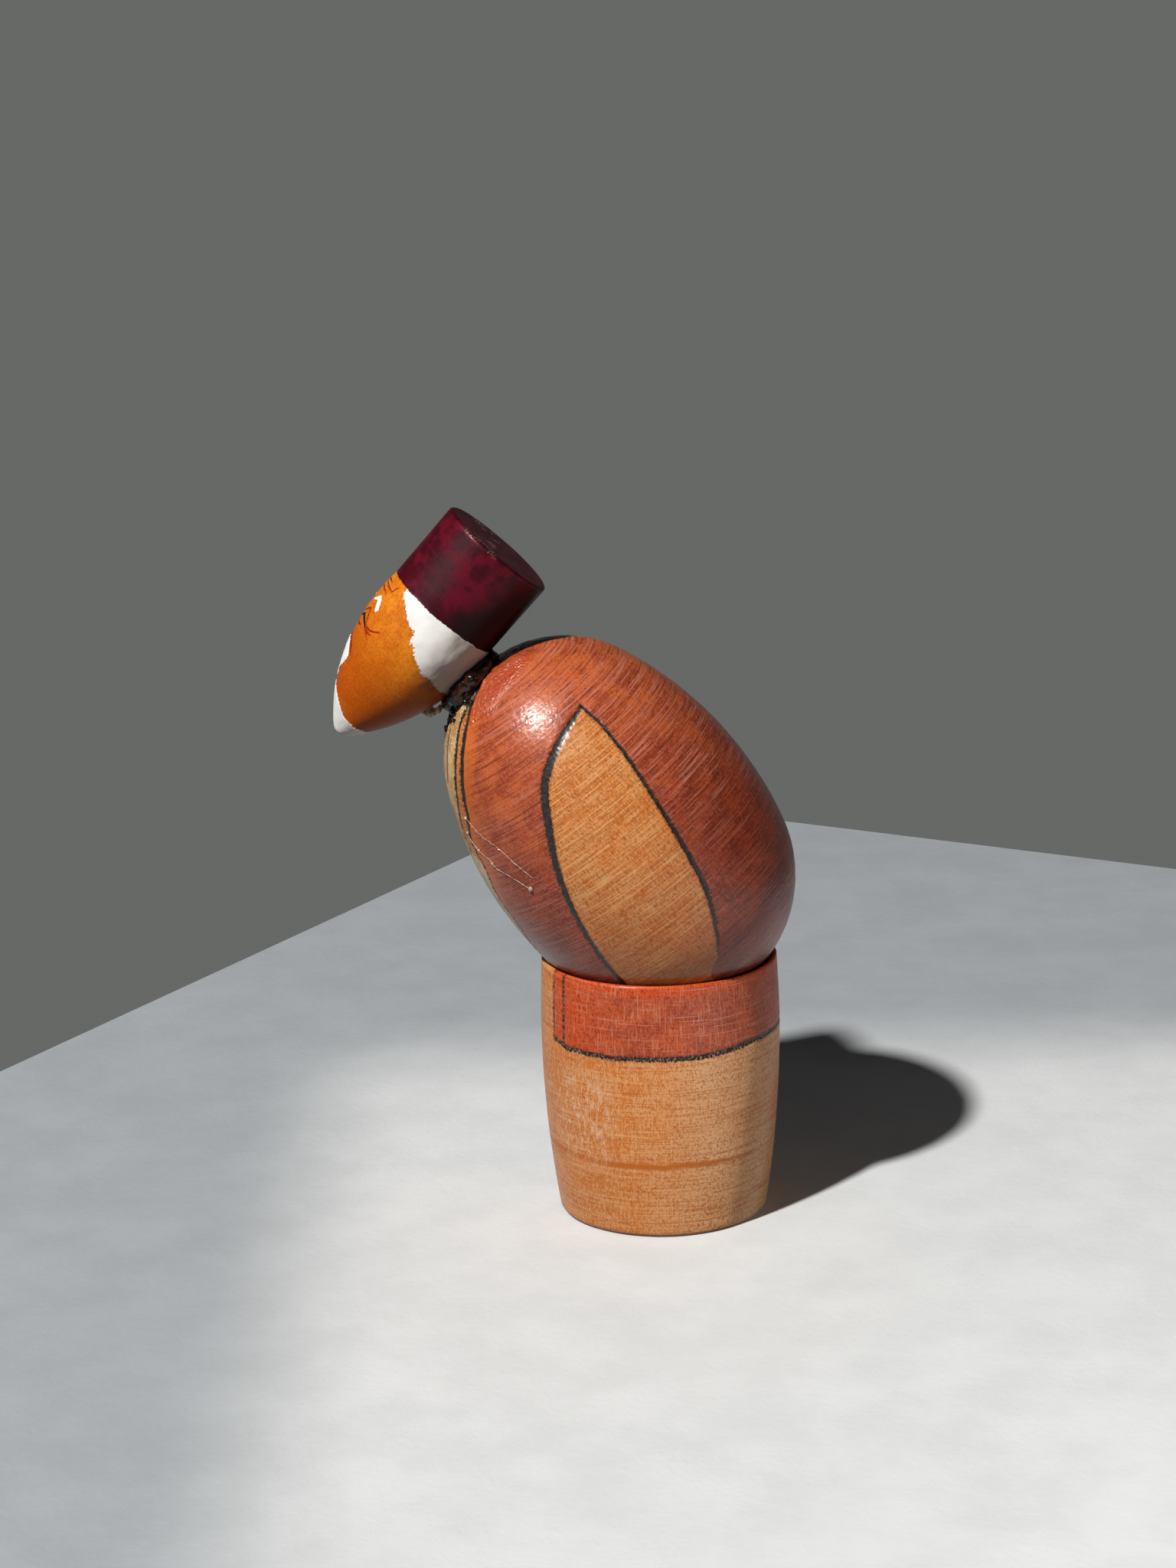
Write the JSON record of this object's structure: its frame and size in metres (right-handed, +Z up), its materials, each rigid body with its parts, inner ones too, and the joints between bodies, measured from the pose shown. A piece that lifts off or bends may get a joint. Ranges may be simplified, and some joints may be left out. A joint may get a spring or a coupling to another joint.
{
  "type": "turned wooden figurine",
  "caption": "Small free-standing turned and painted wooden figure of a hunched old man: barrel base, leaning egg-shaped body and a bullet-shaped head with a flat-topped hat.",
  "frame": {"origin": "centre of the base's flat underside", "axes": "+Z up through the base, -Y the way the figure faces, +X the figure's left side"},
  "size_m": [0.046, 0.0728, 0.1155],
  "materials": {
    "base_wood": "orange stain with burned lines under satin lacquer",
    "body_wood": "red-brown stain with burned lines under gloss lacquer",
    "head_wood": "orange stain and maroon hat with white paint under satin lacquer",
    "dowel_wood": "bare turned dowel",
    "dark_glue": "set brown glue, glossy and full of bubbles",
    "clear_glue": "set clear glue, glossy"
  },
  "bodies": {
    "root": {"base": "base_wood", "body": "body_wood", "head": "head_wood", "seat_dowel": "dowel_wood", "neck_dowel": "dowel_wood", "seat_glue": "dark_glue", "neck_glue": "dark_glue", "glue_drop": "clear_glue", "glue_thread_upper": "clear_glue", "glue_thread_lower": "clear_glue"}
  },
  "joints": []
}
